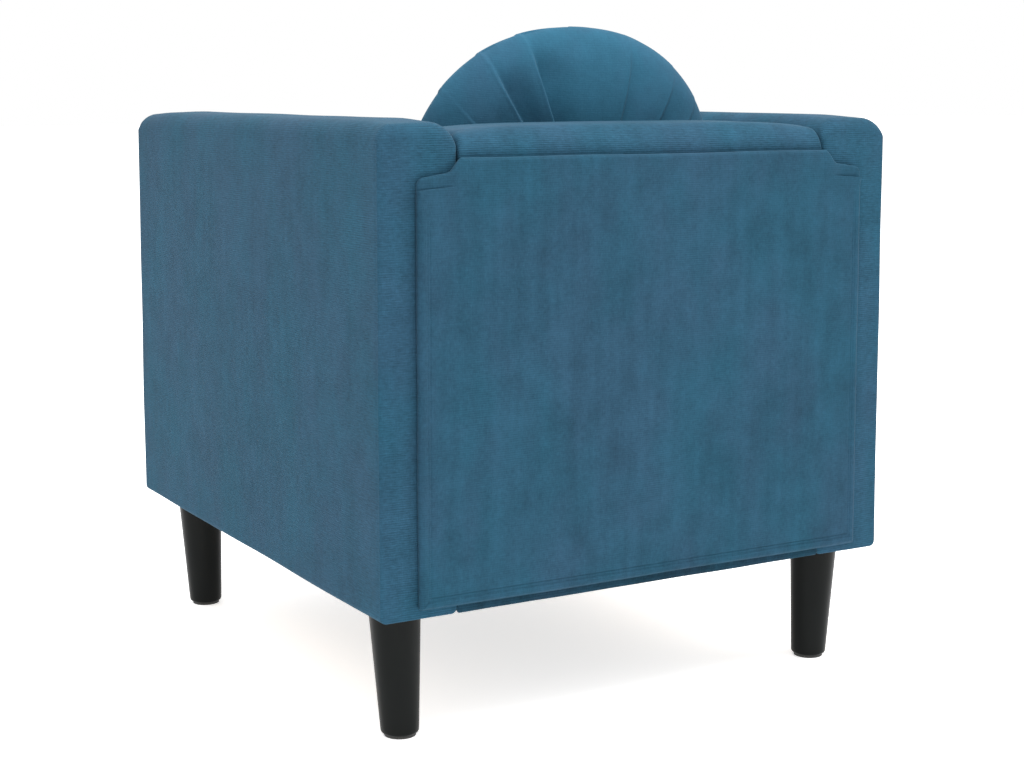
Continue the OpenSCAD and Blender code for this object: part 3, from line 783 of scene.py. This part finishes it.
def make_hem_strip():
    """Fabric turned under the frame, showing below the outside back panel; its velvet is darkened with
    painted shade.
    """
    low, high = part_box("rear_hem_strip")
    z0 = low.z + 1 * MM
    side = high.x + 2.5 * MM
    corners = mirrored([(side, z0), (side, high.z)])
    radii = [4 * MM, 1 * MM, 1 * MM, 4 * MM]
    steps = [24, 90, 24, 90]
    outlines, heights = [], []
    for inset, rise in ((1, 0), (0.2, 0.5), (0, 1.2), (0.3, 1.9), (1, 2.5), (4, 2.7), (6, 2.6), (9, 2.6)):
        outline, _, starts = rounded_outline(corners, radii, steps, 4, inset * MM)
        outlines.append(outline)
        heights.append(rise * MM)
    strip = flat_layer("rear_hem", outlines, heights, low.y, starts, "hem_velvet_painted_shade")
    settle(strip, 0.5 * MM, 0.05, seed=11)
    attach(strip, "chair")
    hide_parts("rear_hem_strip")


def make_dust_cover():
    """Black cloth stapled under the seat frame, hanging a little between its edges."""
    low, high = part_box("dust_cover")
    columns, rows = 60, 70
    points, faces = [], []
    for j in range(rows + 1):
        for i in range(columns + 1):
            u, v = i / columns, j / rows
            pinch = 0.5 + 0.5 * math.cos(2 * math.pi * i / 6) * math.cos(2 * math.pi * j / 7)
            edge = min(u, 1 - u, v, 1 - v)
            sag = 2.5 * MM * math.sin(math.pi * u) * math.sin(math.pi * v)
            pucker = 0.9 * MM * pinch * math.exp(-edge / 0.03)
            z = high.z - sag - pucker
            points.append((low.x + (high.x - low.x) * u, low.y + (high.y - low.y) * v, z))
    for j in range(rows):
        for i in range(columns):
            a = j * (columns + 1) + i
            faces.append((a, a + columns + 1, a + columns + 2, a + 1))
    weave = [(points[i][0], points[i][1]) for face in faces for i in face]
    cloth = make_object("dust_cloth", points, faces, weave, MATERIALS["black_cloth"])
    thick = cloth.modifiers.new("cloth", "SOLIDIFY")
    thick.thickness = 0.8 * MM
    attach(cloth, "chair")
    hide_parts("dust_cover")


# ---------------------------------------- the seat

def make_deck():
    """The fabric over the deck and down the front border, padded behind."""
    low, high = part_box("seat_deck_cover")
    rim = 15 * MM
    corners = [
        (low.y, low.z + 2 * MM), (low.y + rim, low.z + 2 * MM), (low.y + rim, high.z - 8 * MM),
        (high.y, high.z - 8 * MM), (high.y, high.z), (low.y, high.z),
    ]
    radii = [6 * MM, 3 * MM, 3 * MM, 2 * MM, 2 * MM, 13 * MM]
    outline, normals, _ = rounded_outline(corners, radii, (3, 20, 40, 2, 60, 24), 7)
    face = smoothstep((-normals[:, 0] - 0.2) / 0.7)
    rings = []
    stations = np.linspace(low.x, high.x, 60)
    for x in stations:
        share = 1 - (2 * (x - low.x) / (high.x - low.x) - 1) ** 2
        height = np.clip((outline[:, 1] - low.z) / (high.z - low.z), 0, 1)
        lift = 2.2 * MM * face * np.sin(height * math.pi) * share ** 0.3
        drawn = outline + normals * lift[:, None]
        rings.append(np.stack([np.full(len(drawn), x), drawn[:, 0], drawn[:, 1]], axis=1))
    deck = loft("seat_deck_upholstery", rings, MATERIALS["velvet"], section_lengths(outline),
                list(stations), cap_plane=(1, 2))
    settle(deck, 0.8 * MM, 0.09, seed=7)
    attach(deck, "chair")
    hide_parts("seat_deck_cover", "front_border_padding", "deck_padding")


def inflate(thing, pressure, limit, frames=20):
    """Swells a closed mesh with cloth simulation and keeps each point within a limit."""
    scene = bpy.context.scene
    start, _ = vertex_arrays(thing)
    cloth = thing.modifiers.new("cloth", "CLOTH")
    cloth.settings.quality = 6
    cloth.settings.mass = 0.25
    cloth.settings.tension_stiffness = 25
    cloth.settings.compression_stiffness = 25
    cloth.settings.shear_stiffness = 10
    cloth.settings.bending_stiffness = 3
    cloth.settings.use_pressure = True
    cloth.settings.uniform_pressure_force = pressure
    cloth.settings.effector_weights.gravity = 0
    cloth.point_cache.frame_start = 1
    cloth.point_cache.frame_end = frames
    for step in range(1, frames + 1):
        scene.frame_set(step)
    swollen = thing.evaluated_get(bpy.context.evaluated_depsgraph_get()).to_mesh()
    end = np.zeros(len(swollen.vertices) * 3, np.float32)
    swollen.vertices.foreach_get("co", end)
    thing.modifiers.remove(cloth)
    scene.frame_set(1)
    move = end.reshape(-1, 3) - start
    length = np.maximum(np.linalg.norm(move, axis=1), 1e-9)
    move *= (np.minimum(length, limit) / length)[:, None]
    edges = np.zeros(len(thing.data.edges) * 2, np.int32)
    thing.data.edges.foreach_get("vertices", edges)
    edges = edges.reshape(-1, 2)
    shared = np.bincount(edges.ravel(), minlength=len(move))[:, None]
    for _ in range(8):
        total = np.zeros_like(move)
        np.add.at(total, edges[:, 0], move[edges[:, 1]])
        np.add.at(total, edges[:, 1], move[edges[:, 0]])
        move = 0.5 * move + 0.5 * total / shared
    set_vertices(thing, start + move)


def make_seat_cushion():
    """The loose boxed cushion: top and bottom panels sewn to a straight border."""
    low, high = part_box("seat_cushion_cover")
    zip_low, zip_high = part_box("seat_cushion_zip")
    x0, x1 = low.x + CUSHION_SLACK, high.x - CUSHION_SLACK
    y0, y1 = low.y + CUSHION_SLACK, high.y - 1 * MM
    z0, z1 = low.z + 1 * MM, high.z - 7 * MM
    corners = [(x0, y0), (x1, y0), (x1, y1), (x0, y1)]
    outline, normals, starts = rounded_outline(corners, CUSHION_CORNER_R, (64, 76, 64, 76), 8)
    depths = np.array([0, 1, 2.2, 3.4, 4.2, 5, 5.8, 6.8, 8.4, 11]) * MM
    heights = [(z0 + d, d) for d in depths]
    heights += [(z, depths[-1]) for z in np.linspace(z0 + depths[-1], z1 - depths[-1], 16)[1:-1]]
    heights += [(z1 - d, d) for d in depths[::-1]]
    rings = []
    for z, depth in heights:
        drawn = outline - normals * rounding(depth, CUSHION_SEAM_R)
        rings.append(np.stack([drawn[:, 0], drawn[:, 1], np.full(len(drawn), z)], axis=1))
    cushion = loft("seat_cushion", rings, MATERIALS["cushion_velvet"], [0] * len(outline),
                   [0] * len(heights), caps=starts, cap_plane=(0, 1))
    rest, _ = vertex_arrays(cushion)
    inflate(cushion, CUSHION_PRESSURE, CUSHION_SWELL)
    sew_cushion(cushion, rest, (z0 + CUSHION_SEAM_R, z1 - CUSHION_SEAM_R))
    co, _ = vertex_arrays(cushion)
    co = co.astype(float)
    co[:, :2] = CUSHION_SPREAD * co[:, :2] + (1 - CUSHION_SPREAD) * rest[:, :2]
    resting = smoothstep(1 - (rest[:, 2] - z0 - CUSHION_SEAM_R) / CUSHION_REST_H)
    co[:, 2] = co[:, 2] * (1 - resting) + rest[:, 2] * resting
    co[:, 2] = np.maximum(co[:, 2], low.z + 0.3 * MM)
    border = rest[:, 1] > y1 - 4 * MM
    tape = smoothstep((zip_high.x + 6 * MM - np.abs(rest[:, 0])) / (6 * MM))
    tape *= smoothstep((16 * MM - np.abs(rest[:, 2] - 0.5 * (zip_low.z + zip_high.z))) / (5 * MM))
    tape *= border
    co[:, 1] = co[:, 1] * (1 - tape) + (high.y - 2.4 * MM) * tape
    co[:, 1] = np.where(border, np.minimum(co[:, 1], high.y + 3 * MM), co[:, 1])
    co[:, 0] = np.clip(co[:, 0], low.x - CUSHION_PROUD, high.x + CUSHION_PROUD)
    set_vertices(cushion, co)
    lay_weave(cushion, box_axes)
    settle(cushion, 1.0 * MM, 0.10, seed=9)
    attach(cushion, "seat_cushion")
    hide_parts("seat_cushion_cover", "seat_cushion_core")


def sew_cushion(cushion, rest, seams):
    """Draws the cushion in along its two seams, with small puckers beside them."""
    co, normal = vertex_arrays(cushion)
    co = co.astype(float)
    middle = 0.5 * (seams[0] + seams[1])
    angle = np.arctan2(rest[:, 1], rest[:, 0])
    for seam_z in seams:
        on_side = np.abs(rest[:, 2] - middle) < np.abs(seam_z - middle) + 4.9 * MM
        away = np.abs(rest[:, 2] - seam_z)
        stitch = 1.7 * MM * np.exp(-(away / (0.9 * MM)) ** 2)
        lip = 0.5 * MM * np.exp(-((away - 3 * MM) / (1.6 * MM)) ** 2)
        ring = [Vector((math.cos(a) * 9, math.sin(a) * 9, seam_z * 50)) for a in angle]
        wave = np.array([noise.noise(place) for place in ring])
        pucker = 0.9 * MM * wave * np.exp(-away / (14 * MM))
        co += normal * ((lip + pucker - stitch) * on_side)[:, None]
    set_vertices(cushion, co)


# ---------------------------------------- the pillow

def pillow_frame():
    """The pillow's centre, and its axes: across, up its face, and out of its rear."""
    low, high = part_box("pillow_cover")
    centre = (low + high) / 2
    turn = Matrix.Rotation(-PILLOW_TURN, 3, "Z")
    across = turn @ Vector((-1, 0, 0))
    up = turn @ Vector((0, math.sin(PILLOW_TILT), math.cos(PILLOW_TILT)))
    out = turn @ Vector((0, math.cos(PILLOW_TILT), -math.sin(PILLOW_TILT)))
    return centre, across, up, out


def on_pillow(axes, radius, angle, height):
    """The point at this radius, angle from the top and height over the rim's plane."""
    centre, across, up, out = axes
    p = centre + across * (radius * math.sin(angle))
    return p + up * (radius * math.cos(angle)) + out * height


def fold_plan(face):
    """The folds of one face of the pillow: angle from the top in radians, and depth."""
    if face > 0:
        plan = [(-52.5, 0.12), (-35.2, 1.6), (-20.3, 1.7), (19.5, 0.42), (40.5, 0.34), (54.5, 0.42)]
    else:
        plan = [(-54.5, 0.9), (-40.5, 0.7), (-19.5, 1.0), (1.0, 0.7), (20.3, 0.9), (35.2, 0.8)]
        plan.append((52.5, 0.9))
    angle = plan[-1][0] + FOLD_PITCH
    while angle < plan[0][0] + 345:
        turn = len(plan)
        depth = 0.66 + 0.2 * math.sin(4.1 * turn + 2 * face)
        plan.append((angle + 4 * math.sin(7.3 * turn + face), depth))
        angle += FOLD_PITCH
    plan = [((math.radians(a) + math.pi) % (2 * math.pi) - math.pi, d) for a, d in plan]
    return sorted(plan)


def fold_relief(theta, r, face):
    """Height of the gathered folds at angle theta and radius share r: a slow climb, then a drop."""
    plan = fold_plan(face)
    angles = np.array([a for a, _ in plan])
    depths = np.array([d for _, d in plan])
    t = theta - FOLD_BEND * (1 - r) * np.sin(theta)
    since = (t[..., None] - angles) % (2 * math.pi)
    last = since.argmin(-1)
    following = (last + 1) % len(angles)
    width = (angles[following] - angles[last]) % (2 * math.pi)
    gone = since.min(-1)
    left = width - gone
    climb_over = np.minimum(width, 0.30)
    hollow = -depths[last] * 0.75 * (1 - smoothstep(gone / climb_over))
    lip = depths[following] * 0.2 * (1 - smoothstep(left / 0.16))
    ridge = (0.04 + 0.05 * depths[following]) * np.exp(-(left * r / 0.012) ** 2)
    drop_over = (0.014 + 0.007 * depths[last]) / np.maximum(r, 0.3)
    step = smoothstep(gone / drop_over)
    crest = 0.2 * depths[last] + 0.04 + 0.05 * depths[last]
    return hollow * step + lip + ridge + crest * (1 - step)


def pillow_face(face, theta, r):
    """One face's points on a grid of r and theta: how far from the axis, and how far out."""
    power = PILLOW_SQUARENESS
    outline = PILLOW_R * (np.abs(np.sin(theta)) ** power + np.abs(np.cos(theta)) ** power) ** (-1 / power)
    grid_r, grid_t = np.meshgrid(r, theta, indexing="ij")
    body = PILLOW_HALF_T * np.maximum(1 - grid_r ** 2.35, 0) ** 0.506
    dip = PILLOW_DIP * np.exp(-((grid_r * PILLOW_R - 10 * MM) / (26 * MM)) ** 2)
    strength = FOLD_H * smoothstep((0.99 - grid_r) / 0.26) * smoothstep((grid_r - 0.04) / 0.30)
    relief = fold_relief(grid_t * face, grid_r, face)
    wrinkle = np.array([
        [noise.noise(Vector((math.cos(b) * a * 4, math.sin(b) * a * 4, face * 3.0))) for b in theta]
        for a in r
    ])
    height = body - dip + strength * relief + WRINKLE_H * wrinkle * smoothstep((1 - grid_r) / 0.2)
    rim = 1 + 0.007 * relief * smoothstep((grid_r - 0.72) / 0.28)
    return grid_r * outline * rim, height * face


def make_pillow():
    """The round pillow: two gathered faces, sunk at a button, meeting in a soft rim. Its velvet is
    lightened with painted light.
    """
    axes = pillow_frame()
    turns, steps = 900, 110
    theta = np.arange(turns) / turns * 2 * math.pi - math.pi
    r = np.sin(np.linspace(math.pi / 2, 0, steps))
    layers = [pillow_face(face, theta, r) for face in (1, -1)]
    seam = 0.5 * (layers[0][0][0] + layers[1][0][0])
    points, faces, first = [], [], {}
    for k, (radius, height) in enumerate(layers):
        radius[0] = seam
        height[0] = 0
        for s in range(steps - 1):
            if k == 1 and s == 0:
                first[k, s] = first[0, 0]
                continue
            first[k, s] = len(points)
            points += [on_pillow(axes, radius[s, i], theta[i], height[s, i]) for i in range(turns)]
        tip = len(points)
        points.append(on_pillow(axes, 0, 0, height[-1].mean()))
        for s in range(steps - 1):
            a = first[k, s]
            for i in range(turns):
                j = (i + 1) % turns
                if s < steps - 2:
                    b = first[k, s + 1]
                    face = (a + i, a + j, b + j, b + i)
                else:
                    face = (a + i, a + j, tip)
                faces.append(face if k == 0 else face[::-1])
    centre, across, up, _ = axes
    points = [tuple(p) for p in points]
    flat = [((Vector(p) - centre).dot(across), (Vector(p) - centre).dot(up)) for p in points]
    weave = [flat[i] for face in faces for i in face]
    pillow = make_object("scatter_pillow", points, faces, weave, MATERIALS["pillow_velvet"])
    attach(pillow, "pillow")
    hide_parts("pillow_cover", "pillow_filling")
    make_buttons(axes)


def make_buttons(axes):
    """The covered button on each face of the pillow, domed over a metal shell."""
    radius = 15 * MM
    hub = PILLOW_HALF_T - 17 * MM
    turns = 72
    profile = [(0.88, 0), (0.98, 1.2), (1.0, 2.6), (0.985, 4.0), (0.93, 5.4), (0.82, 6.8)]
    profile += [(0.66, 8.0), (0.46, 8.9), (0.24, 9.4), (0.08, 9.5)]
    for sign, name in ((1, "rear"), (-1, "front")):
        rings = []
        for share, height in profile:
            ring = []
            for i in range(turns):
                a = sign * 2 * math.pi * i / turns
                crease = 1 + 0.012 * math.sin(9 * a) * (share > 0.9)
                p = on_pillow(axes, radius * share * crease, a, sign * (hub + height * MM))
                ring.append(tuple(p))
            rings.append(ring)
        around = list(np.arange(turns) / turns * 2 * math.pi * radius)
        button = loft("pillow_button_" + name, rings, MATERIALS["pillow_velvet"], around,
                      [h * MM for _, h in profile])
        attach(button, "pillow")
        if sign > 0:
            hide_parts("pillow_buttons")


# ---------------------------------------- the legs

def make_leg(name):
    """A turned, tapered leg with a soft foot edge, leaning in as it goes down."""
    low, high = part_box(name)
    top_r = 0.5 * (high.y - low.y)
    top_x = high.x - top_r if high.x > 0 else low.x + top_r
    y = 0.5 * (low.y + high.y)
    inward = -1 if high.x > 0 else 1
    soft = 4 * MM
    heights = list(low.z + soft * (1 - np.cos(np.linspace(0, math.pi / 2, 7))))
    heights += list(np.linspace(low.z + soft, high.z + 3 * MM, 26)[1:])
    turns = 96
    rings = []
    for z in heights:
        share = z / high.z
        r = LEG_FOOT_R + (top_r - LEG_FOOT_R) * share
        r -= rounding(np.array(z - low.z), soft)
        x = top_x + inward * LEG_LEAN * (1 - share)
        a = np.arange(turns) / turns * 2 * math.pi
        rings.append(np.stack([x + r * np.cos(a), y + r * np.sin(a), np.full(turns, z)], axis=1))
    leg = loft(name + "_turned", rings, MATERIALS["leg_black"], list(a * top_r), heights, cap_plane=(0, 1))
    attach(leg, "chair")
    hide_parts(name)


# ---------------------------------------- room, light, camera

def make_floor():
    """A plain pale floor."""
    s = Shader("floor_pale")
    place = s.place()
    grain = s.noise(place, 3.0, 3.0)
    s.set(Base_Color=s.ramp(grain, [(0.0, (0.90, 0.90, 0.90)), (1.0, (0.94, 0.94, 0.94))]))
    s.set(Roughness=0.9, Specular_IOR_Level=0.1)
    s.set(Emission_Color=(1, 1, 1, 1), Emission_Strength=0.60)
    weave = [(x * FLOOR_REACH, y * FLOOR_REACH) for x, y in ((-1, -1), (1, -1), (1, 1), (-1, 1))]
    make_object("floor", [(x, y, 0) for x, y in weave], [(0, 1, 2, 3)], weave, s.material)


def area_light(name, position, target, size, power):
    """A round soft light, turned towards a point."""
    data = bpy.data.lights.new(name, "AREA")
    data.shape = "DISK"
    data.size = size
    data.energy = power
    light = bpy.data.objects.new(name, data)
    light.location = position
    light.rotation_mode = "QUATERNION"
    light.rotation_quaternion = (Vector(target) - Vector(position)).to_track_quat("-Z", "Y")
    add(light)


def make_light():
    """An even white studio: a bright surround, a large light overhead and two fills."""
    world = bpy.data.worlds.new("studio")
    world.use_nodes = True
    background = world.node_tree.nodes["Background"]
    background.inputs["Color"].default_value = (1, 1, 1, 1)
    background.inputs["Strength"].default_value = 1.0
    bpy.context.scene.world = world
    area_light("overhead", (0.1, 0.8, 3.3), (0, 0, 0.5), 3.0, 125)
    area_light("rear_fill", (-3.2, 1.4, 2.5), (0, 0, 0.4), 2.2, 38)
    area_light("front_fill", (-1.2, -3.4, 2.6), (0, 0, 0.4), 2.4, 45)
    bpy.context.scene.view_settings.view_transform = "Standard"


def make_camera():
    """A long lens behind the chair and to the sitter's left, at about the height of its arms."""
    data = bpy.data.cameras.new("camera")
    data.lens = 64.34
    data.sensor_width = 36
    data.shift_y = -0.10
    camera = bpy.data.objects.new("camera", data)
    camera.location = (1.178, 2.1035, 0.725)
    camera.rotation_euler = (math.radians(90 - 6.13), 0, math.radians(150.0))
    add(camera)
    bpy.context.scene.camera = camera


dress_cad_nodes()
make_camera()
make_light()
make_floor()
make_arm("left", 1)
make_arm("right", -1)
make_back()
make_outside_back()
make_hem_strip()
make_dust_cover()
make_deck()
make_seat_cushion()
make_pillow()
for end in ("front_left", "front_right", "rear_left", "rear_right"):
    make_leg("leg_" + end)
